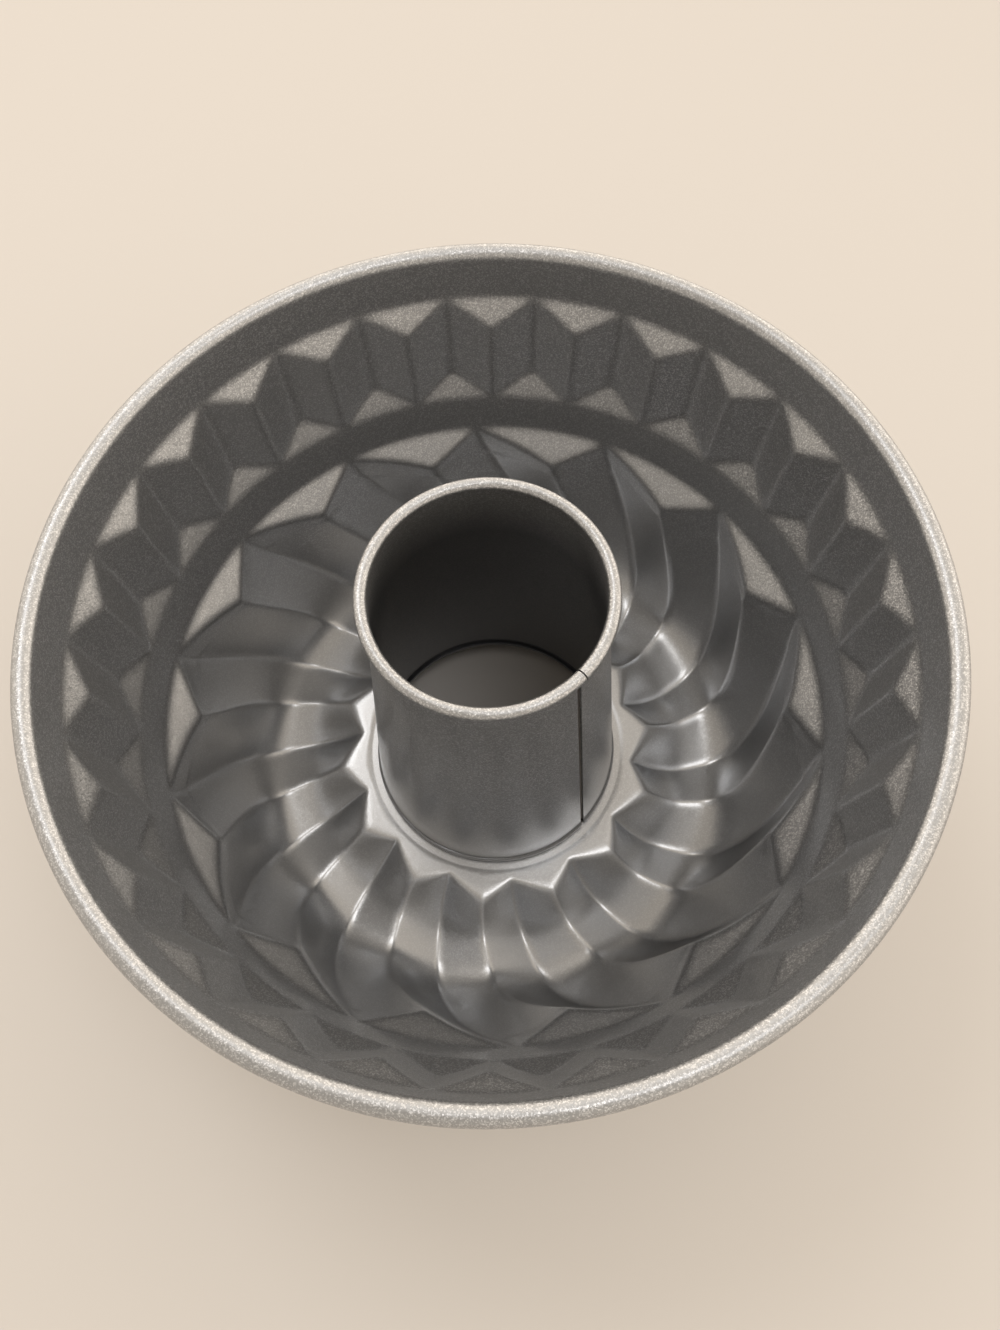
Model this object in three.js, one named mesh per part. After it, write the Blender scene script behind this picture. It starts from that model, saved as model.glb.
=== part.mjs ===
// Fluted tube pan: a cake mould drawn from one steel sheet, with a tier of facets shaped like diamonds
// above a tier of spiral flutes, and a conical tube crimped into the hole in its middle.
// Millimetres, +Z up. The origin is on the axis, on the surface that the flutes stand on.
// Angles start at the front (-Y) and grow counter-clockwise as seen from above.
import * as THREE from 'three';

// Sheet of both pieces, and the play left in the crimped joint between them
const SHEET = 0.6;
const CRIMP_PLAY = 0.3;

// Rim, rolled outwards into a hollow curl, and the plain band below it
const RIM_RADIUS = 112;
const RIM_CURL = 5.2;
const RIM_CURL_LIP = -140;
const BAND_HEIGHT = 12.4;

// Tier of diamonds: a cone that is pushed in along the ridges and out along the valleys
const DIAMONDS = 26;
const DIAMOND_PHASE = 5.05;
const DIAMOND_HEIGHT = 35.4;
const DIAMOND_TOP_INSET = 6.8;
const DIAMOND_FOOT_INSET = 15.1;
const DIAMOND_DEPTH = 3.3;
const LEDGE_DROP = 7.3;
const SKIRT_RISE = 7.8;

// Collar, the plain step between the two tiers
const COLLAR_HEIGHT = 11.4;
const COLLAR_INSET = 3.2;

// Tier of flutes: each has a valley and a ridge that run down the wall, through the trough and up to the hub
const FLUTES = 14;
const FLUTE_PHASE = 1.75;
const FLUTE_HEIGHT = 52.2;
const FLUTE_DRAFT = 11;
const RIDGE_START = 9.72;
const RIDGE_INSET = 8.2;
const RIDGE_DROP = 7.5;
const RIDGE_RISE = 5.5;
const VALLEY_TWIST = 22.9;
const RIDGE_TWIST = 18.4;
const TWIST_EASE = 1.25;
const VALLEY_LAND = 2;
const TROUGH_RADIUS = 64.5;
const FOOT_LENGTH = 5;

// Hub, the flat ring round the tube, with a star-shaped edge where the flutes end
const HUB_HEIGHT = 12;
const HUB_PEAK_RADIUS = 48.5;
const HUB_NOTCH_RADIUS = 43.4;
const HUB_VALLEY_SLOPE = 48;
const HUB_RIDGE_SLOPE = 28;

// Centre tube, rolled from a sheet: an open seam, a curled top, a bead above the hub and a hem below it
const TUBE_RISE = 112.4;
const TUBE_THROAT_RADIUS = 27.4;
const TUBE_CURL = 3.2;
const TUBE_CURL_LIP = -100;
const TUBE_FOOT_RADIUS = 36.3;
const TUBE_BEAD_HEIGHT = 3;
const TUBE_BEAD_CREST = 1.8;
const TUBE_BEAD_OUT = 0.9;
const TUBE_NECK_RADIUS = 35.8;
const TUBE_HEM_WIDTH = 3.6;
const TUBE_HEM_BEND = 0.3;
const SEAM_ANGLE = 44.5;
const SEAM_GAP = 0.8;

// Fineness of the facets
const ARCS_PER_DIAMOND = 3;
const ARCS_PER_FLUTE = 4;
const CURL_STEPS = 8;
const WALL_STEPS = 6;
const FOOT_STEPS = 1;
const RISE_STEPS = 4;
const SHORT_SIDE_STEPS = 2;
const LONG_SIDE_STEPS = 3;
const TUBE_SIDES = 44;
const ROUND_HANDLE = 0.55;
const RISE_HANDLE = 0.41;

// Heights of the main circles, added up from the surface that the pan stands on
const flutesTop = FLUTE_HEIGHT;
const diamondsFoot = flutesTop + COLLAR_HEIGHT;
const diamondsTop = diamondsFoot + DIAMOND_HEIGHT;
const rimCentre = diamondsTop + BAND_HEIGHT;

// Radii of the same circles, stepped in from the rim
const rimCentreRadius = RIM_RADIUS - RIM_CURL / 2;
const diamondsTopRadius = RIM_RADIUS - DIAMOND_TOP_INSET;
const diamondsFootRadius = RIM_RADIUS - DIAMOND_FOOT_INSET;
const flutesTopRadius = diamondsFootRadius - COLLAR_INSET;
const holeRadius = TUBE_NECK_RADIUS + SHEET + CRIMP_PLAY;

// A point at a radius, an angle in degrees and a height
function polar(radius, degrees, height) {
  const angle = THREE.MathUtils.degToRad(degrees);
  return new THREE.Vector3(radius * Math.sin(angle), -radius * Math.cos(angle), height);
}

// Points of a profile along an arc, as radius and height
function arc(centreRadius, centreHeight, radius, fromDegrees, toDegrees, steps) {
  const points = [];
  for (let step = 0; step <= steps; step += 1) {
    const angle = THREE.MathUtils.degToRad(THREE.MathUtils.lerp(fromDegrees, toDegrees, step / steps));
    points.push(new THREE.Vector2(
      centreRadius + radius * Math.cos(angle),
      centreHeight + radius * Math.sin(angle),
    ));
  }
  return points;
}

// One side of a sheet-metal piece, as points and triangles, which is then thickened to a closed solid
class Skin {
  constructor() {
    this.points = [];
    this.angles = [];
    this.triangles = [];
    this.flat = new Set();
  }

  add(radius, degrees, height) {
    this.points.push(polar(radius, degrees, height));
    this.angles.push(degrees);
    return this.points.length - 1;
  }

  face(a, b, c) {
    if (a !== b && b !== c && c !== a) this.triangles.push([a, b, c]);
  }

  // A circle of points, one for each angle
  circle(radius, height, angles) {
    return angles.map((degrees) => this.add(radius, degrees, height));
  }

  // Fills the strip between two rows with as many points each
  strip(upper, lower, closed) {
    const last = closed ? upper.length : upper.length - 1;
    for (let i = 0; i < last; i += 1) {
      const next = (i + 1) % upper.length;
      this.face(upper[i], upper[next], lower[i]);
      this.face(upper[next], lower[next], lower[i]);
    }
  }

  // Fills the strip between two rows of any lengths, taking the point with the smaller angle each time
  zip(upper, lower, upperAngles, lowerAngles) {
    let i = 0;
    let j = 0;
    while (i < upper.length - 1 || j < lower.length - 1) {
      const lowerEnded = j === lower.length - 1;
      const upperNext = i < upper.length - 1 && (lowerEnded || upperAngles[i + 1] <= lowerAngles[j + 1]);
      if (upperNext) {
        this.face(upper[i], upper[i + 1], lower[j]);
        i += 1;
      } else {
        this.face(upper[i], lower[j + 1], lower[j]);
        j += 1;
      }
    }
  }

  // The same between two closed circles, whose first points are at about the same angle
  band(upper, lower) {
    const close = (row) => [...row, row[0]];
    const turn = (row) => [...row.map((index) => this.angles[index]), this.angles[row[0]] + 360];
    this.zip(close(upper), close(lower), turn(upper), turn(lower));
  }

  // Directions square to the skin at its points, weighted by the corner angles of the faces there
  normals() {
    const sums = this.points.map(() => new THREE.Vector3());
    for (const corners of this.triangles) {
      const [a, b, c] = corners.map((index) => this.points[index]);
      const normal = new THREE.Triangle(a, b, c).getNormal(new THREE.Vector3());
      corners.forEach((index, k) => {
        const here = this.points[index];
        const one = this.points[corners[(k + 1) % 3]].clone().sub(here);
        const other = this.points[corners[(k + 2) % 3]].clone().sub(here);
        sums[index].addScaledVector(normal, one.angleTo(other));
      });
    }
    return sums.map((sum) => sum.normalize());
  }

  // A closed solid: the skin, its copy one sheet behind it, and walls along the open edges
  thicken(sheet) {
    const count = this.points.length;
    const back = this.normals().map((normal, index) => {
      const point = this.points[index].clone().addScaledVector(normal, -sheet);
      if (this.flat.has(index)) point.z = this.points[index].z - sheet;
      return point;
    });
    const faces = [];
    const edges = new Map();
    for (const [a, b, c] of this.triangles) {
      faces.push(a, b, c, a + count, c + count, b + count);
      for (const [from, to] of [[a, b], [b, c], [c, a]]) {
        if (!edges.delete(`${to} ${from}`)) edges.set(`${from} ${to}`, [from, to]);
      }
    }
    for (const [from, to] of edges.values()) {
      faces.push(to, from, from + count, to, from + count, to + count);
    }
    const geometry = new THREE.BufferGeometry();
    geometry.setFromPoints([...this.points, ...back]);
    geometry.setIndex(faces);
    geometry.computeVertexNormals();
    return geometry;
  }
}

// Angles of a circle that is cut into equal sectors, each with the same number of arcs
function sectorAngles(sectors, phase, arcs) {
  const angles = [];
  for (let i = 0; i < sectors * arcs; i += 1) angles.push(phase + (360 * i) / (sectors * arcs));
  return angles;
}

// Rows of a flute's valley or ridge: down the wall, along a short flat and up to the hub.
// Each row has its radius and height, and the share of the whole twist that is reached there.
function fluteLine(top, bottom, end, endSlope, flatLength) {
  const draft = THREE.MathUtils.degToRad(FLUTE_DRAFT);
  const slope = THREE.MathUtils.degToRad(endSlope);
  const outer = new THREE.Vector2(bottom.x + flatLength / 2, bottom.y);
  const inner = new THREE.Vector2(bottom.x - flatLength / 2, bottom.y);
  const drop = ROUND_HANDLE * (top.y - bottom.y);
  const reach = ROUND_HANDLE * (top.x - outer.x);
  const climb = RISE_HANDLE * (inner.x - end.x);
  const wall = new THREE.CubicBezierCurve(
    top,
    new THREE.Vector2(top.x - drop * Math.tan(draft), top.y - drop),
    new THREE.Vector2(outer.x + reach, outer.y),
    outer,
  );
  const flat = new THREE.LineCurve(outer, inner);
  const rise = new THREE.CubicBezierCurve(
    inner,
    new THREE.Vector2(inner.x - climb, inner.y),
    new THREE.Vector2(end.x + climb * Math.cos(slope), end.y - climb * Math.sin(slope)),
    end,
  );
  const points = [
    ...wall.getSpacedPoints(WALL_STEPS),
    ...flat.getSpacedPoints(FOOT_STEPS).slice(1),
    ...rise.getSpacedPoints(RISE_STEPS).slice(1),
  ];
  const lengths = [0];
  for (let i = 1; i < points.length; i += 1) {
    lengths.push(lengths[i - 1] + points[i].distanceTo(points[i - 1]));
  }
  const total = lengths[lengths.length - 1];
  return points.map((point, i) => ({
    radius: point.x,
    height: point.y,
    twist: Math.sin((Math.PI / 2) * (lengths[i] / total) ** TWIST_EASE),
  }));
}

// Pan body: rim, band, diamonds, collar, flutes and hub, drawn from one sheet
function panBody() {
  const skin = new Skin();
  const roundAngles = sectorAngles(DIAMONDS, DIAMOND_PHASE, ARCS_PER_DIAMOND);

  // Rim curl, from its lip under the outside over the top to the inside, and the band down to the diamonds
  const curl = arc(rimCentreRadius, rimCentre, RIM_CURL / 2, RIM_CURL_LIP, 180, CURL_STEPS);
  const rimRows = curl.map((point) => skin.circle(point.x, point.y, roundAngles));
  const diamondTopRow = skin.circle(diamondsTopRadius, diamondsTop, roundAngles);
  rimRows.push(diamondTopRow);
  for (let i = 1; i < rimRows.length; i += 1) skin.strip(rimRows[i - 1], rimRows[i], true);

  // Diamonds: ridges from the ledge to the foot, valleys from the top to the skirt, half a sector apart
  const sector = 360 / DIAMONDS;
  const coneSlope = (diamondsTopRadius - diamondsFootRadius) / DIAMOND_HEIGHT;
  const ledgeHeight = diamondsTop - LEDGE_DROP;
  const skirtHeight = diamondsFoot + SKIRT_RISE;
  const ledgeRadius = diamondsTopRadius - coneSlope * LEDGE_DROP - DIAMOND_DEPTH;
  const skirtRadius = diamondsFootRadius + coneSlope * SKIRT_RISE + DIAMOND_DEPTH;
  const footAngles = sectorAngles(DIAMONDS, DIAMOND_PHASE - sector / 2, ARCS_PER_DIAMOND);
  const diamondFootRow = skin.circle(diamondsFootRadius, diamondsFoot, footAngles);
  const cycle = (row, index) => row[(index + row.length) % row.length];
  const ledgeTips = [];
  const skirtTips = [];
  for (let i = 0; i < DIAMONDS; i += 1) {
    const valleyAngle = DIAMOND_PHASE + i * sector;
    skirtTips.push(skin.add(skirtRadius, valleyAngle, skirtHeight));
    ledgeTips.push(skin.add(ledgeRadius, valleyAngle + sector / 2, ledgeHeight));
  }
  for (let i = 0; i < DIAMONDS; i += 1) {
    const topArc = [];
    const footArc = [];
    for (let k = 0; k <= ARCS_PER_DIAMOND; k += 1) {
      topArc.push(cycle(diamondTopRow, i * ARCS_PER_DIAMOND + k));
      footArc.push(cycle(diamondFootRow, i * ARCS_PER_DIAMOND + k));
    }
    const topLeft = topArc[0];
    const footLeft = footArc[0];
    const footRight = footArc[ARCS_PER_DIAMOND];
    for (let k = 0; k < ARCS_PER_DIAMOND; k += 1) {
      skin.face(topArc[k], topArc[k + 1], ledgeTips[i]);
      skin.face(skirtTips[i], footArc[k + 1], footArc[k]);
    }
    skin.face(topLeft, ledgeTips[i], skirtTips[i]);
    skin.face(ledgeTips[i], footRight, skirtTips[i]);
    skin.face(cycle(ledgeTips, i - 1), topLeft, footLeft);
    skin.face(topLeft, skirtTips[i], footLeft);
  }

  // Flutes: valleys with a narrow land and ridges with none, joined by a short side and a long side
  const pitch = 360 / FLUTES;
  const valley = fluteLine(
    new THREE.Vector2(flutesTopRadius, flutesTop),
    new THREE.Vector2(TROUGH_RADIUS, SHEET),
    new THREE.Vector2(HUB_NOTCH_RADIUS, HUB_HEIGHT),
    HUB_VALLEY_SLOPE,
    FOOT_LENGTH,
  );
  const ridge = fluteLine(
    new THREE.Vector2(flutesTopRadius - RIDGE_INSET, flutesTop - RIDGE_DROP),
    new THREE.Vector2(TROUGH_RADIUS, SHEET + RIDGE_RISE),
    new THREE.Vector2(HUB_PEAK_RADIUS, HUB_HEIGHT),
    HUB_RIDGE_SLOPE,
    FOOT_LENGTH,
  );
  const fluteRows = valley.map((low, rowIndex) => {
    const high = ridge[rowIndex];
    const row = [];
    const landHalf = THREE.MathUtils.radToDeg(VALLEY_LAND / 2 / low.radius);
    for (let i = 0; i < FLUTES; i += 1) {
      const valleyAngle = FLUTE_PHASE + i * pitch - VALLEY_TWIST * low.twist;
      const ridgeAngle = FLUTE_PHASE + i * pitch + RIDGE_START - RIDGE_TWIST * high.twist;
      const leftLand = valleyAngle - landHalf;
      const rightLand = valleyAngle + landHalf;
      row.push(skin.add(low.radius, leftLand, low.height));
      for (let k = 0; k < SHORT_SIDE_STEPS; k += 1) {
        const share = k / SHORT_SIDE_STEPS;
        row.push(skin.add(
          THREE.MathUtils.lerp(low.radius, high.radius, share),
          THREE.MathUtils.lerp(rightLand, ridgeAngle, share),
          THREE.MathUtils.lerp(low.height, high.height, share),
        ));
      }
      for (let k = 0; k < LONG_SIDE_STEPS; k += 1) {
        const share = k / LONG_SIDE_STEPS;
        row.push(skin.add(
          THREE.MathUtils.lerp(high.radius, low.radius, share),
          THREE.MathUtils.lerp(ridgeAngle, leftLand + pitch, share),
          THREE.MathUtils.lerp(high.height, low.height, share),
        ));
      }
      if (rowIndex === WALL_STEPS || rowIndex === WALL_STEPS + FOOT_STEPS) {
        const sidePoints = SHORT_SIDE_STEPS + LONG_SIDE_STEPS;
        skin.flat.add(row[row.length - 1 - sidePoints]);
        skin.flat.add(row[row.length - sidePoints]);
      }
    }
    return row;
  });
  for (let i = 1; i < fluteRows.length; i += 1) skin.strip(fluteRows[i - 1], fluteRows[i], true);

  // Ledges above the flutes, and the circle that they share with the collar
  const perFlute = 1 + SHORT_SIDE_STEPS + LONG_SIDE_STEPS;
  const firstRow = fluteRows[0];
  const fluteTopRow = [];
  for (let i = 0; i < FLUTES; i += 1) {
    const start = i * perFlute;
    const lower = firstRow.slice(start + 1, start + perFlute);
    const nextLand = cycle(firstRow, start + perFlute);
    const fromAngle = skin.angles[lower[0]];
    const toAngle = skin.angles[firstRow[start]] + pitch;
    const upper = [lower[0]];
    for (let k = 1; k < ARCS_PER_FLUTE; k += 1) {
      const degrees = THREE.MathUtils.lerp(fromAngle, toAngle, k / ARCS_PER_FLUTE);
      upper.push(skin.add(flutesTopRadius, degrees, flutesTop));
    }
    const anglesOf = (row) => [...row.map((index) => skin.angles[index]), toAngle];
    skin.zip([...upper, nextLand], [...lower, nextLand], anglesOf(upper), anglesOf(lower));
    fluteTopRow.push(firstRow[start], ...upper);
  }
  skin.band(diamondFootRow, fluteTopRow);

  // Hub: flat from the star-shaped edge to the hole for the tube
  const starRow = fluteRows[fluteRows.length - 1];
  const holeRow = skin.circle(holeRadius, HUB_HEIGHT, starRow.map((index) => skin.angles[index]));
  skin.strip(starRow, holeRow, true);
  return skin.thicken(SHEET);
}

// Centre tube: one strip of sheet rolled to a cone whose edges meet along an open seam
function centreTube() {
  const skin = new Skin();
  const curlCentre = HUB_HEIGHT + TUBE_RISE - TUBE_CURL / 2;
  const hemBottom = HUB_HEIGHT - SHEET - CRIMP_PLAY - SHEET;
  const beadTop = HUB_HEIGHT + TUBE_BEAD_HEIGHT;
  const beadCrest = HUB_HEIGHT + TUBE_BEAD_CREST;
  const neckTop = HUB_HEIGHT + CRIMP_PLAY;
  const bore = [
    ...arc(TUBE_THROAT_RADIUS + TUBE_CURL / 2, curlCentre, TUBE_CURL / 2, TUBE_CURL_LIP, 180, CURL_STEPS),
    new THREE.Vector2(TUBE_FOOT_RADIUS, beadTop),
    new THREE.Vector2(TUBE_FOOT_RADIUS + TUBE_BEAD_OUT, beadCrest),
    new THREE.Vector2(TUBE_NECK_RADIUS, neckTop),
    new THREE.Vector2(TUBE_NECK_RADIUS, hemBottom + TUBE_HEM_BEND),
    new THREE.Vector2(TUBE_NECK_RADIUS + TUBE_HEM_BEND, hemBottom),
    new THREE.Vector2(TUBE_NECK_RADIUS + TUBE_HEM_WIDTH, hemBottom),
  ];
  const rows = bore.map((point) => {
    const halfGap = THREE.MathUtils.radToDeg(Math.asin(SEAM_GAP / 2 / point.x));
    const angles = [];
    for (let i = 0; i <= TUBE_SIDES; i += 1) {
      angles.push(THREE.MathUtils.lerp(SEAM_ANGLE + halfGap, SEAM_ANGLE + 360 - halfGap, i / TUBE_SIDES));
    }
    return skin.circle(point.x, point.y, angles);
  });
  for (let i = 1; i < rows.length; i += 1) skin.strip(rows[i - 1], rows[i], false);
  return skin.thicken(SHEET);
}

// Steel sheet with a dark grey non-stick coating
const coatedSteel = new THREE.MeshStandardMaterial({
  color: 0x57575b,
  roughness: 0.36,
  metalness: 0.55,
});

function piece(name, geometry) {
  const mesh = new THREE.Mesh(geometry, coatedSteel.clone());
  mesh.name = name;
  return mesh;
}

const pan = new THREE.Group();
pan.add(piece('pan_body', panBody()));
pan.add(piece('centre_tube', centreTube()));

export default pan;
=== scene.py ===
import math

import bpy
import numpy as np
from mathutils import Matrix, Vector


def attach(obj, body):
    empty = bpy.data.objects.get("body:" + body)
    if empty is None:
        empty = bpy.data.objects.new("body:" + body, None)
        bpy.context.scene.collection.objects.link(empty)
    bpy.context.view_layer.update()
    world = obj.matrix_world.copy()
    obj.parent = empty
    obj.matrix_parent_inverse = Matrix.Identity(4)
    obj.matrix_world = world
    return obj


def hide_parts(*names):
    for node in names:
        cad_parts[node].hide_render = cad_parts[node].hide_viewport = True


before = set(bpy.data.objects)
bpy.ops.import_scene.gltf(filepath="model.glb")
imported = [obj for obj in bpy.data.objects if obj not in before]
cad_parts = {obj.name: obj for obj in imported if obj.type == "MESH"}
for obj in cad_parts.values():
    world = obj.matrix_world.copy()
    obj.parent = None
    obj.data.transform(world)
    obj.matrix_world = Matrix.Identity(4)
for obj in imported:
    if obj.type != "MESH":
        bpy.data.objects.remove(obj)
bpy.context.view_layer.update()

# Viewpoint. The pan is seen steeply from above its front, close to, with a wide lens,
# so the rim nearest the eye is large and the flutes narrow towards the bottom.
MM = 0.001
VIEW_ELEVATION = 67.65
VIEW_ROLL = -2.11
VIEW_DISTANCE = 254.6 * MM
VIEW_AIM = Vector((2.3, -12.8, 111.4)) * MM
SENSOR_LONG_SIDE = 36.0
FOCAL_PIXELS = 1097.0
PICTURE_LONG_SIDE = 1330.0

scene = bpy.context.scene
scene.view_settings.view_transform = "Standard"
camera_data = bpy.data.cameras.new("viewpoint")
camera_data.sensor_width = SENSOR_LONG_SIDE
camera_data.lens = SENSOR_LONG_SIDE * FOCAL_PIXELS / PICTURE_LONG_SIDE
camera_data.clip_start = 0.01
camera = bpy.data.objects.new("viewpoint", camera_data)
scene.collection.objects.link(camera)
elevation = math.radians(VIEW_ELEVATION)
towards_eye = Vector((0.0, -math.cos(elevation), math.sin(elevation)))
picture_right = Vector((0.0, 0.0, 1.0)).cross(towards_eye).normalized()
picture_up = towards_eye.cross(picture_right)
upright = Matrix((picture_right, picture_up, towards_eye)).transposed()
turned = upright @ Matrix.Rotation(math.radians(VIEW_ROLL), 3, "Z")
camera.matrix_world = Matrix.Translation(VIEW_AIM + towards_eye * VIEW_DISTANCE) @ turned.to_4x4()
scene.camera = camera


# Pan body. One round of steel sheet, deep-drawn in a press and coated on both sides: a rim rolled
# outwards into a hollow curl, a plain band, a tier of folded diamonds, a collar, spiral flutes and a hub.
SHEET = 0.6
RIM_RADIUS = 112.0
RIM_CURL = 5.2
RIM_LIP = -140.0
BAND_HEIGHT = 12.4

DIAMONDS = 26
DIAMOND_PHASE = 5.05
DIAMOND_HEIGHT = 35.4
DIAMOND_TOP_RADIUS = RIM_RADIUS - 6.8
DIAMOND_FOOT_RADIUS = RIM_RADIUS - 15.1
DIAMOND_DEPTH = 3.3
LEDGE_DROP = 7.3
SKIRT_RISE = 7.8

COLLAR_HEIGHT = 11.4
COLLAR_INSET = 3.2

FLUTES = 14
FLUTE_PHASE = 1.75
FLUTE_HEIGHT = 52.2
FLUTE_DRAFT = math.radians(11.0)
FLUTE_TOP_RADIUS = DIAMOND_FOOT_RADIUS - COLLAR_INSET
RIDGE_START = 9.72
RIDGE_INSET = 8.2
RIDGE_DROP = 7.5
RIDGE_RISE = 5.5
VALLEY_TWIST = 22.9
RIDGE_TWIST = 18.4
TWIST_EASE = 1.25
TROUGH_RADIUS = 64.5
FOOT_LENGTH = 5.0
ROUND_HANDLE = 0.55
RISE_HANDLE = 0.41

HUB_HEIGHT = 12.0
HUB_PEAK_RADIUS = 48.5
HUB_NOTCH_RADIUS = 43.4
HUB_VALLEY_SLOPE = math.radians(48.0)
HUB_RIDGE_SLOPE = math.radians(28.0)
HUB_STEP_RADIUS = 40.4
HUB_STEP_WIDTH = 1.0
HUB_STEP_DEPTH = 0.15
HOLE_RADIUS = 36.7

COLUMNS = 728
LINE_POINTS = 100
CURL_ROWS = 18
WALL_STEP = 0.75
TROUGH_ROWS = 68
HUB_ROWS = 5
LEDGE_ROOM = 2.5
WALL_SOFTNESS = 2
TROUGH_SOFTNESS = 4
CRISP_SHARE = 0.4
HUB_SOFTNESS = 2
SHARP_EDGE = math.radians(50.0)

diamonds_foot = FLUTE_HEIGHT + COLLAR_HEIGHT
diamonds_top = diamonds_foot + DIAMOND_HEIGHT
rim_centre = diamonds_top + BAND_HEIGHT
columns = np.arange(COLUMNS) * 360.0 / COLUMNS


def fold_share(angle, first, ridge, pitch):
    """How far a point lies from a valley, 0, to the next ridge, 1, where folds repeat."""
    turn = np.mod(angle - first, pitch)
    return np.where(turn < ridge, turn / ridge, (pitch - turn) / (pitch - ridge))


def soften(values, passes, axis):
    """Rounds the creases of a grid, as the press does, by averaging each point with its neighbours."""
    for _ in range(passes):
        if axis == 1:
            before, after = np.roll(values, 1, 1), np.roll(values, -1, 1)
        else:
            longer = np.pad(values, ((1, 1), (0, 0)), mode="reflect", reflect_type="odd")
            before, after = longer[:-2], longer[2:]
        values = (before + 2.0 * values + after) / 4.0
    return values


def bezier(start, start_handle, end_handle, end, steps):
    """Points of a cubic curve as radius and height."""
    share = np.linspace(0.0, 1.0, steps + 1)[:, None]
    back = 1.0 - share
    outer = back ** 3 * np.array(start) + share ** 3 * np.array(end)
    inner = back ** 2 * share * np.array(start_handle) + back * share ** 2 * np.array(end_handle)
    return outer + 3.0 * inner


def flute_line(top, bottom, end, end_slope):
    """Length, radius, height and twist of a valley or ridge, from the wall's top to the hub."""
    outer = bottom[0] + FOOT_LENGTH / 2.0
    inner = bottom[0] - FOOT_LENGTH / 2.0
    drop = ROUND_HANDLE * (top[1] - bottom[1])
    reach = ROUND_HANDLE * (top[0] - outer)
    climb = RISE_HANDLE * (inner - end[0])
    wall = bezier(
        top,
        (top[0] - drop * math.tan(FLUTE_DRAFT), top[1] - drop),
        (outer + reach, bottom[1]),
        (outer, bottom[1]),
        2 * LINE_POINTS,
    )
    rise = bezier(
        (inner, bottom[1]),
        (inner - climb, bottom[1]),
        (end[0] + climb * math.cos(end_slope), end[1] - climb * math.sin(end_slope)),
        end,
        LINE_POINTS,
    )
    points = np.concatenate([wall, rise])
    steps = np.linalg.norm(np.diff(points, axis=0), axis=1)
    length = np.concatenate([[0.0], np.cumsum(steps)])
    twist = np.sin(np.pi / 2.0 * (length / length[-1]) ** TWIST_EASE)
    return length, points[:, 0], points[:, 1], twist


valley_line = flute_line(
    (FLUTE_TOP_RADIUS, FLUTE_HEIGHT),
    (TROUGH_RADIUS, SHEET),
    (HUB_NOTCH_RADIUS, HUB_HEIGHT),
    HUB_VALLEY_SLOPE,
)
ridge_line = flute_line(
    (FLUTE_TOP_RADIUS - RIDGE_INSET, FLUTE_HEIGHT - RIDGE_DROP),
    (TROUGH_RADIUS, SHEET + RIDGE_RISE),
    (HUB_PEAK_RADIUS, HUB_HEIGHT),
    HUB_RIDGE_SLOPE,
)
flute_pitch = 360.0 / FLUTES
flute_share = fold_share(columns, FLUTE_PHASE, RIDGE_START, flute_pitch)[None, :]


def on_wall(line, height):
    """Radius and twist of a flute line at heights on the wall, carried on straight above its top."""
    length, radius, line_height, twist = line
    wall = slice(0, np.argmin(line_height) + 1)
    here = np.interp(-height, -line_height[wall], radius[wall])
    above = np.maximum(height - line_height[0], 0.0) * math.tan(FLUTE_DRAFT)
    return here + above, np.interp(-height, -line_height[wall], twist[wall])


def diamond_wall(height, angle):
    """Radius of the plain band, the diamonds and the collar."""
    pitch = 360.0 / DIAMONDS
    share = fold_share(angle, DIAMOND_PHASE, pitch / 2.0, pitch)
    cone = (DIAMOND_TOP_RADIUS - DIAMOND_FOOT_RADIUS) / DIAMOND_HEIGHT
    ledge_radius = DIAMOND_TOP_RADIUS - cone * LEDGE_DROP - DIAMOND_DEPTH
    skirt_radius = DIAMOND_FOOT_RADIUS + cone * SKIRT_RISE + DIAMOND_DEPTH
    below_top = diamonds_top - height
    above_foot = height - diamonds_foot
    valley_slope = (DIAMOND_TOP_RADIUS - skirt_radius) / (DIAMOND_HEIGHT - SKIRT_RISE)
    ridge_slope = (ledge_radius - DIAMOND_FOOT_RADIUS) / (DIAMOND_HEIGHT - LEDGE_DROP)
    valley = DIAMOND_TOP_RADIUS - valley_slope * below_top
    ridge = DIAMOND_FOOT_RADIUS + ridge_slope * above_foot
    facet = valley + (ridge - valley) * share
    ledge = DIAMOND_TOP_RADIUS - (DIAMOND_TOP_RADIUS - ledge_radius) / LEDGE_DROP * below_top
    skirt = DIAMOND_FOOT_RADIUS + (skirt_radius - DIAMOND_FOOT_RADIUS) / SKIRT_RISE * above_foot
    band_slope = (RIM_RADIUS - RIM_CURL - DIAMOND_TOP_RADIUS) / BAND_HEIGHT
    band = DIAMOND_TOP_RADIUS - band_slope * below_top
    tier = np.minimum(np.minimum(np.maximum(facet, ledge), skirt), band)
    collar = DIAMOND_FOOT_RADIUS + COLLAR_INSET / COLLAR_HEIGHT * above_foot
    return np.where(above_foot > 0.0, tier, collar)


def flute_wall(height):
    """Radius and angle of the top of the flutes, where sloping ledges meet the ridges."""
    valley_radius, valley_twist = on_wall(valley_line, height)
    ridge_radius, ridge_twist = on_wall(ridge_line, height)
    facet = valley_radius + (ridge_radius - valley_radius) * flute_share
    ledge = FLUTE_TOP_RADIUS - RIDGE_INSET / RIDGE_DROP * (FLUTE_HEIGHT - height)
    return np.maximum(facet, ledge), flute_angle(valley_twist, ridge_twist)


def flute_angle(valley_twist, ridge_twist):
    """Angle of each column where its flute has turned by these shares of the whole twist."""
    valley_turn = VALLEY_TWIST * valley_twist
    ridge_turn = RIDGE_TWIST * ridge_twist
    return columns[None, :] - (valley_turn + (ridge_turn - valley_turn) * flute_share)


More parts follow.
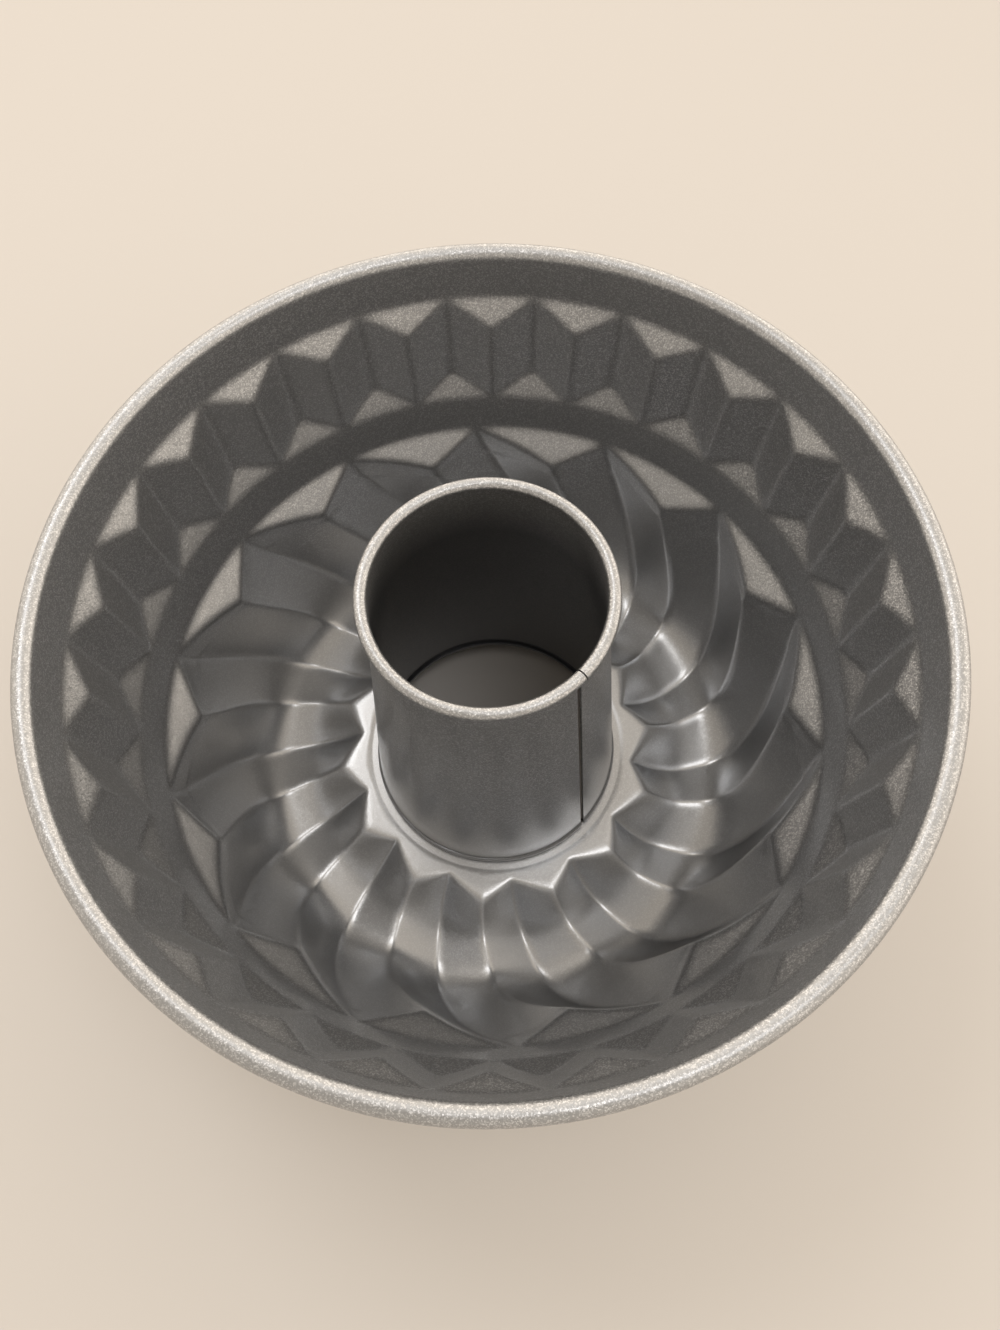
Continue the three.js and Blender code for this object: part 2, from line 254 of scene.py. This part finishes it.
# Rows of the skin that faces the cake: rim curl, wall, trough and hub, each as radius, angle and height
curl_turn = np.radians(np.linspace(RIM_LIP, 180.0, CURL_ROWS))[:-1, None]
curl_radius = RIM_RADIUS - RIM_CURL / 2.0 + RIM_CURL / 2.0 * np.cos(curl_turn)
curl_height = rim_centre + RIM_CURL / 2.0 * np.sin(curl_turn)
every_column = np.ones((1, COLUMNS))

trough_top = FLUTE_HEIGHT - RIDGE_DROP - LEDGE_ROOM
wall_rows = round((rim_centre - trough_top) / WALL_STEP)
wall_height = np.linspace(rim_centre, trough_top, wall_rows)[:, None]
flute_radius, twisted_angle = flute_wall(np.minimum(wall_height, FLUTE_HEIGHT))
in_flutes = wall_height < FLUTE_HEIGHT
wall_radius = np.where(in_flutes, flute_radius, diamond_wall(wall_height, columns[None, :]))
wall_radius = soften(soften(wall_radius, WALL_SOFTNESS, 0), WALL_SOFTNESS, 1)
wall_angle = np.where(in_flutes, twisted_angle, columns[None, :])


def along_trough(line):
    """Radius, height and twist of a flute line in equal steps from the wall to the hub."""
    length, radius, height, twist = line
    wall = slice(0, np.argmin(height) + 1)
    start = np.interp(-trough_top, -height[wall], length[wall])
    stops = np.linspace(start, length[-1], TROUGH_ROWS)
    return [np.interp(stops, length, values)[:, None] for values in (radius, height, twist)]


valley_radius, valley_height, valley_twist = along_trough(valley_line)
ridge_radius, ridge_height, ridge_twist = along_trough(ridge_line)
crisp = soften(flute_share, WALL_SOFTNESS, 1)
round_off = soften(flute_share, TROUGH_SOFTNESS, 1)
crisp = (crisp - crisp.min()) / (crisp.max() - crisp.min())
round_off = (round_off - round_off.min()) / (round_off.max() - round_off.min())
depth = np.linspace(0.0, 1.0, TROUGH_ROWS)[:, None]
share = crisp + (round_off - crisp) * np.minimum(depth / CRISP_SHARE, 1.0)
trough_radius = valley_radius + (ridge_radius - valley_radius) * share
trough_height = valley_height + (ridge_height - valley_height) * share
trough_angle = flute_angle(valley_twist, ridge_twist)

inward = np.linspace(0.0, 1.0, HUB_ROWS + 1)[1:, None]
hub_radius = trough_radius[-1:] + (HUB_STEP_RADIUS - trough_radius[-1:]) * inward
step_middle = HUB_STEP_RADIUS - HUB_STEP_WIDTH / 2.0
step_inside = HUB_STEP_RADIUS - HUB_STEP_WIDTH
step_radius = np.array([[step_middle], [step_inside], [HOLE_RADIUS]]) * every_column
hub_height = np.full_like(hub_radius, HUB_HEIGHT)
step_height = np.full_like(step_radius, HUB_HEIGHT - HUB_STEP_DEPTH)
trough_radius = np.concatenate([trough_radius, hub_radius])
trough_height = np.concatenate([trough_height, hub_height])
trough_radius[1:] = soften(trough_radius, HUB_SOFTNESS, 0)[1:]
trough_height[1:] = soften(trough_height, HUB_SOFTNESS, 0)[1:]
trough_angle = np.concatenate([trough_angle, np.repeat(trough_angle[-1:], HUB_ROWS, axis=0)])

body_radius = np.concatenate([
    curl_radius * every_column,
    wall_radius,
    trough_radius[1:],
    step_radius,
])
body_height = np.concatenate([
    curl_height * every_column,
    wall_height * every_column,
    trough_height[1:],
    step_height,
])
body_angle = np.concatenate([
    np.repeat(columns[None, :], len(curl_radius), axis=0),
    wall_angle,
    trough_angle[1:],
    np.repeat(trough_angle[-1:], len(step_radius), axis=0),
])


def sheet_piece(name, radius, angle, height, closed):
    """A piece of sheet from the rows of one side, with the other side one sheet behind it."""
    turn = np.radians(angle)
    skin = np.stack([radius * np.sin(turn), -radius * np.cos(turn), height], axis=-1)
    along = np.gradient(skin, axis=0)
    if closed:
        across = np.roll(skin, -1, axis=1) - np.roll(skin, 1, axis=1)
    else:
        across = np.gradient(skin, axis=1)
    normal = np.cross(across, along)
    normal /= np.linalg.norm(normal, axis=-1, keepdims=True)
    behind = skin - normal * SHEET
    rows, count = radius.shape
    index = np.arange(rows * count).reshape(rows, count)
    if closed:
        index = np.concatenate([index, index[:, :1]], axis=1)
    far = index + rows * count
    front = np.stack([index[:-1, :-1], index[:-1, 1:], index[1:, 1:], index[1:, :-1]], axis=-1)
    rear = np.stack([far[:-1, :-1], far[1:, :-1], far[1:, 1:], far[:-1, 1:]], axis=-1)
    lip = np.stack([index[0, 1:], index[0, :-1], far[0, :-1], far[0, 1:]], axis=-1)
    hem = np.stack([index[-1, :-1], index[-1, 1:], far[-1, 1:], far[-1, :-1]], axis=-1)
    faces = [front.reshape(-1, 4), rear.reshape(-1, 4), lip, hem]
    if not closed:
        faces.append(np.stack([index[:-1, 0], index[1:, 0], far[1:, 0], far[:-1, 0]], axis=-1))
        faces.append(np.stack([index[1:, -1], index[:-1, -1], far[:-1, -1], far[1:, -1]], axis=-1))
    points = np.concatenate([skin.reshape(-1, 3), behind.reshape(-1, 3)]) * MM
    mesh = bpy.data.meshes.new(name)
    mesh.from_pydata(points.tolist(), [], np.concatenate(faces).tolist())
    mesh.shade_smooth()
    mesh.set_sharp_from_angle(angle=SHARP_EDGE)
    piece = bpy.data.objects.new(name, mesh)
    scene.collection.objects.link(piece)
    return piece


def linear(hex_colour):
    """Linear RGBA of an sRGB hex colour."""
    channels = [int(hex_colour[i:i + 2], 16) / 255.0 for i in (1, 3, 5)]
    return [c / 12.92 if c <= 0.04045 else ((c + 0.055) / 1.055) ** 2.4 for c in channels] + [1.0]


def add_node(tree, kind, inputs=(), **settings):
    """Adds a node, sets its properties, and sets or links its inputs by name or number."""
    node = tree.nodes.new(kind)
    for key, value in settings.items():
        setattr(node, key, value)
    for key, value in dict(inputs).items():
        if isinstance(value, bpy.types.NodeSocket):
            tree.links.new(value, node.inputs[key])
        else:
            node.inputs[key].default_value = value
    return node


# Non-stick coating: a grey enamel full of fine aluminium flakes, sprayed on the sheet and cured. Down in
# the pan it is laid on wet, so the flakes settle flat and it cures glossy. Near the rim it is dry, and
# each flake lies askew and glints. They are drawn coarser than the real 0.1 mm, so that they show.
# Down the bore of the tube the inside is painted darker towards its foot: painted shade, where little light
# reaches.
COATING_COLOUR = "#a0a1a3"
FLAKE_COLOUR = "#cccdcf"
FLAKE_SIZE = 0.28
SETTLED_TILT = 0.05
RIM_TILT = 0.16
SETTLED_GLINT = 0.25
SETTLED_ROUGHNESS = 0.31
RIM_ROUGHNESS = 0.41
SETTLED_HEIGHT = 20.0
DRY_HEIGHT = 75.0
# Painted shade down the bore: its dark colour, and the heights where it starts and where it is full.
BORE_SHADE_COLOUR = "#6a6c70"
BORE_RADIUS = 38.0
BORE_SHADE_FULL_HEIGHT = 100.0
BORE_SHADE_START_HEIGHT = 120.0
GLINT_START = 0.55
METAL_SHARE = 0.95
BINDER = 0.25
BINDER_ROUGHNESS = 0.12


def nonstick_coating():
    """The coating of both pieces, with its pattern in the pan's own coordinates."""
    material = bpy.data.materials.new("nonstick_coating")
    material.use_nodes = True
    tree = material.node_tree
    shader = tree.nodes["Principled BSDF"]
    place = add_node(tree, "ShaderNodeTexCoord")
    flakes = add_node(
        tree,
        "ShaderNodeTexVoronoi",
        {"Vector": place.outputs["Object"], "Scale": 1.0 / (FLAKE_SIZE * MM)},
    )
    height = add_node(tree, "ShaderNodeSeparateXYZ", {0: place.outputs["Object"]})
    dryness = add_node(
        tree,
        "ShaderNodeMapRange",
        {
            "Value": height.outputs["Z"],
            "From Min": SETTLED_HEIGHT * MM,
            "From Max": DRY_HEIGHT * MM,
        },
    )
    flake_parts = add_node(tree, "ShaderNodeSeparateColor", {0: flakes.outputs["Color"]})
    glint = add_node(
        tree,
        "ShaderNodeMapRange",
        {"Value": flake_parts.outputs["Red"], "From Min": GLINT_START},
    )
    glint_size = add_node(
        tree,
        "ShaderNodeMapRange",
        {"Value": dryness.outputs["Result"], "To Min": SETTLED_GLINT},
    )
    shown_glint = add_node(
        tree,
        "ShaderNodeMath",
        {0: glint.outputs["Result"], 1: glint_size.outputs["Result"]},
        operation="MULTIPLY",
    )
    colour = add_node(
        tree,
        "ShaderNodeMix",
        {
            "Factor": shown_glint.outputs["Value"],
            6: linear(COATING_COLOUR),
            7: linear(FLAKE_COLOUR),
        },
        data_type="RGBA",
    )
    roughness = add_node(
        tree,
        "ShaderNodeMapRange",
        {
            "Value": dryness.outputs["Result"],
            "To Min": SETTLED_ROUGHNESS,
            "To Max": RIM_ROUGHNESS,
        },
    )
    surface = add_node(tree, "ShaderNodeNewGeometry")
    from_axis = add_node(
        tree,
        "ShaderNodeVectorMath",
        {0: place.outputs["Object"], 1: (1.0, 1.0, 0.0)},
        operation="MULTIPLY",
    )
    radius = add_node(
        tree,
        "ShaderNodeVectorMath",
        {0: from_axis.outputs["Vector"]},
        operation="LENGTH",
    )
    outward = add_node(
        tree,
        "ShaderNodeVectorMath",
        {0: from_axis.outputs["Vector"], 1: surface.outputs["True Normal"]},
        operation="DOT_PRODUCT",
    )
    # Painted shade: the inside of the bore is coloured darker towards its foot, where less light reaches
    # down it.
    near_axis = add_node(
        tree,
        "ShaderNodeMath",
        {0: radius.outputs["Value"], 1: BORE_RADIUS * MM},
        operation="LESS_THAN",
    )
    inward = add_node(
        tree,
        "ShaderNodeMath",
        {0: outward.outputs["Value"], 1: 0.0},
        operation="LESS_THAN",
    )
    bore_shade_depth = add_node(
        tree,
        "ShaderNodeMapRange",
        {
            "Value": height.outputs["Z"],
            "From Min": BORE_SHADE_START_HEIGHT * MM,
            "From Max": BORE_SHADE_FULL_HEIGHT * MM,
        },
    )
    in_tube = add_node(
        tree,
        "ShaderNodeMath",
        {0: near_axis.outputs["Value"], 1: inward.outputs["Value"]},
        operation="MULTIPLY",
    )
    painted_bore_shade = add_node(
        tree,
        "ShaderNodeMath",
        {0: in_tube.outputs["Value"], 1: bore_shade_depth.outputs["Result"]},
        operation="MULTIPLY",
    )
    colour_with_bore_shade = add_node(
        tree,
        "ShaderNodeMix",
        {"Factor": painted_bore_shade.outputs["Value"], 6: colour.outputs[2], 7: linear(BORE_SHADE_COLOUR)},
        data_type="RGBA",
    )
    askew = add_node(
        tree,
        "ShaderNodeVectorMath",
        {0: flakes.outputs["Color"], 1: (0.5, 0.5, 0.5)},
        operation="SUBTRACT",
    )
    tilt_size = add_node(
        tree,
        "ShaderNodeMapRange",
        {"Value": dryness.outputs["Result"], "To Min": SETTLED_TILT, "To Max": RIM_TILT},
    )
    tilt = add_node(
        tree,
        "ShaderNodeVectorMath",
        {0: askew.outputs["Vector"], "Scale": tilt_size.outputs["Result"]},
        operation="SCALE",
    )
    tilted = add_node(
        tree,
        "ShaderNodeVectorMath",
        {0: surface.outputs["Normal"], 1: tilt.outputs["Vector"]},
        operation="ADD",
    )
    flake_normal = add_node(
        tree,
        "ShaderNodeVectorMath",
        {0: tilted.outputs["Vector"]},
        operation="NORMALIZE",
    )
    tree.links.new(colour_with_bore_shade.outputs[2], shader.inputs["Base Color"])
    tree.links.new(roughness.outputs["Result"], shader.inputs["Roughness"])
    tree.links.new(flake_normal.outputs["Vector"], shader.inputs["Normal"])
    shader.inputs["Metallic"].default_value = METAL_SHARE
    shader.inputs["Coat Weight"].default_value = BINDER
    shader.inputs["Coat Roughness"].default_value = BINDER_ROUGHNESS
    return material


coating = nonstick_coating()
pan_body = sheet_piece("coated_pan_body", body_radius, body_angle, body_height, closed=True)
pan_body.data.materials.append(coating)
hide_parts("pan_body")
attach(pan_body, "root")


# Centre tube. A strip of the same coated sheet, rolled to a cone whose edges meet in an open seam.
# Its top is curled outwards, and a bead above the hub and a hem folded out below it crimp it into the hole.
TUBE_TOP = HUB_HEIGHT + 112.4
TUBE_THROAT_RADIUS = 27.4
TUBE_CURL = 3.2
TUBE_LIP = -100.0
TUBE_FOOT_RADIUS = 36.3
BEAD_TOP = HUB_HEIGHT + 3.0
BEAD_CREST = HUB_HEIGHT + 1.8
BEAD_OUT = 0.9
BEAD_SHOULDER = 0.4
BEAD_UNDERCUT = 0.6
NECK_RADIUS = 35.8
NECK_TOP = HUB_HEIGHT + 0.3
HEM_BOTTOM = HUB_HEIGHT - 1.5
HEM_BEND = 0.6
HEM_RADIUS = NECK_RADIUS + 3.6
SEAM_ANGLE = 44.5
SEAM_GAP = 1.3
CURL_SEAM_GAP = 0.4
TUBE_COLUMNS = 200
TUBE_CURL_ROWS = 16
TUBE_WALL_ROWS = 30
BEAD_ROWS = 10
BEND_ROWS = 6

curl_centre = TUBE_TOP - TUBE_CURL / 2.0
curl_turn = np.radians(np.linspace(TUBE_LIP, 180.0, TUBE_CURL_ROWS))
bore_curl = np.stack([
    TUBE_THROAT_RADIUS + TUBE_CURL / 2.0 + TUBE_CURL / 2.0 * np.cos(curl_turn),
    curl_centre + TUBE_CURL / 2.0 * np.sin(curl_turn),
], axis=1)
bore_wall = np.linspace(
    (TUBE_THROAT_RADIUS, curl_centre),
    (TUBE_FOOT_RADIUS, BEAD_TOP),
    TUBE_WALL_ROWS,
)
bore_bead = bezier(
    (TUBE_FOOT_RADIUS, BEAD_TOP),
    (TUBE_FOOT_RADIUS + BEAD_OUT, BEAD_TOP - BEAD_SHOULDER),
    (TUBE_FOOT_RADIUS + BEAD_OUT, BEAD_CREST - BEAD_UNDERCUT),
    (NECK_RADIUS, NECK_TOP),
    BEAD_ROWS,
)
bend_turn = np.radians(np.linspace(180.0, 270.0, BEND_ROWS))
bore_bend = np.stack([
    NECK_RADIUS + HEM_BEND + HEM_BEND * np.cos(bend_turn),
    HEM_BOTTOM + HEM_BEND + HEM_BEND * np.sin(bend_turn),
], axis=1)
bore_hem = np.array([(HEM_RADIUS, HEM_BOTTOM)])
bore = np.concatenate([bore_curl, bore_wall[1:], bore_bead[1:], bore_bend, bore_hem])
gap = np.full(len(bore), SEAM_GAP)
gap[:TUBE_CURL_ROWS] = CURL_SEAM_GAP
half_gap = np.degrees(np.arcsin(gap / 2.0 / bore[:, 0]))[:, None]
around = np.linspace(0.0, 1.0, TUBE_COLUMNS)[None, :]
tube_angle = SEAM_ANGLE + half_gap + (360.0 - 2.0 * half_gap) * around
tube_radius = bore[:, :1] * np.ones_like(around)
tube_height = bore[:, 1:] * np.ones_like(around)

centre_tube = sheet_piece("rolled_centre_tube", tube_radius, tube_angle, tube_height, closed=False)
centre_tube.data.materials.append(coating)
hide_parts("centre_tube")
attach(centre_tube, "root")


# Floor and light. A pale matt table top in a bright room: light walls all round, brightest at the back
# right where the windows are, and two ceiling lamps almost overhead that the glossy flutes mirror.
FLOOR_COLOUR = "#c8c4c0"
FLOOR_SIZE = 6.0
ROOM_COLOUR = "#f2e6d6"
WALL_LIGHT = 1.85
CEILING_LIGHT = 1.05
CEILING_START = 0.3
CEILING_FULL = 0.85
WINDOW_WAY = (0.5, 0.87, 0.0)
WINDOW_SIDE = 1.6
FAR_SIDE = 0.5
LAMP_PLACES = [Vector((-0.4, 0.5, 1.15)), Vector((0.28, -0.21, 1.34))]
LAMP_WIDTH = 0.5
LAMP_POWER = 2.4

floor_mesh = bpy.data.meshes.new("table_top")
half = FLOOR_SIZE / 2.0
floor_mesh.from_pydata(
    [(-half, -half, 0.0), (half, -half, 0.0), (half, half, 0.0), (-half, half, 0.0)],
    [],
    [(0, 1, 2, 3)],
)
floor = bpy.data.objects.new("table_top", floor_mesh)
scene.collection.objects.link(floor)
laminate = bpy.data.materials.new("matt_laminate")
laminate.use_nodes = True
laminate_shader = laminate.node_tree.nodes["Principled BSDF"]
laminate_shader.inputs["Base Color"].default_value = linear(FLOOR_COLOUR)
laminate_shader.inputs["Roughness"].default_value = 1.0
laminate_shader.inputs["Specular IOR Level"].default_value = 0.0
floor_mesh.materials.append(laminate)

world = bpy.data.worlds.new("room")
world.use_nodes = True
room = world.node_tree
sky = room.nodes["Background"]
way = add_node(room, "ShaderNodeTexCoord")
way_parts = add_node(room, "ShaderNodeSeparateXYZ", {0: way.outputs["Generated"]})
by_height = add_node(
    room,
    "ShaderNodeMapRange",
    {
        "Value": way_parts.outputs["Z"],
        "From Min": CEILING_START,
        "From Max": CEILING_FULL,
        "To Min": WALL_LIGHT,
        "To Max": CEILING_LIGHT,
    },
    interpolation_type="SMOOTHSTEP",
)
to_window = add_node(
    room,
    "ShaderNodeVectorMath",
    {0: way.outputs["Generated"], 1: WINDOW_WAY},
    operation="DOT_PRODUCT",
)
by_side = add_node(
    room,
    "ShaderNodeMapRange",
    {
        "Value": to_window.outputs["Value"],
        "From Min": -1.0,
        "To Min": FAR_SIDE,
        "To Max": WINDOW_SIDE,
    },
)
light = add_node(
    room,
    "ShaderNodeMath",
    {0: by_height.outputs["Result"], 1: by_side.outputs["Result"]},
    operation="MULTIPLY",
)
rays = add_node(room, "ShaderNodeLightPath")
strength = add_node(
    room,
    "ShaderNodeMix",
    {0: rays.outputs["Is Camera Ray"], 2: light.outputs["Value"], 3: 1.0},
)
sky.inputs["Color"].default_value = linear(ROOM_COLOUR)
room.links.new(strength.outputs[0], sky.inputs["Strength"])
scene.world = world

lamp_data = bpy.data.lights.new("ceiling_lamp", "AREA")
lamp_data.shape = "DISK"
lamp_data.size = LAMP_WIDTH
lamp_data.energy = LAMP_POWER
for lamp_place in LAMP_PLACES:
    lamp = bpy.data.objects.new("ceiling_lamp", lamp_data)
    lamp.location = lamp_place
    lamp.rotation_mode = "QUATERNION"
    lamp.rotation_quaternion = (-lamp_place).to_track_quat("-Z", "Y")
    scene.collection.objects.link(lamp)
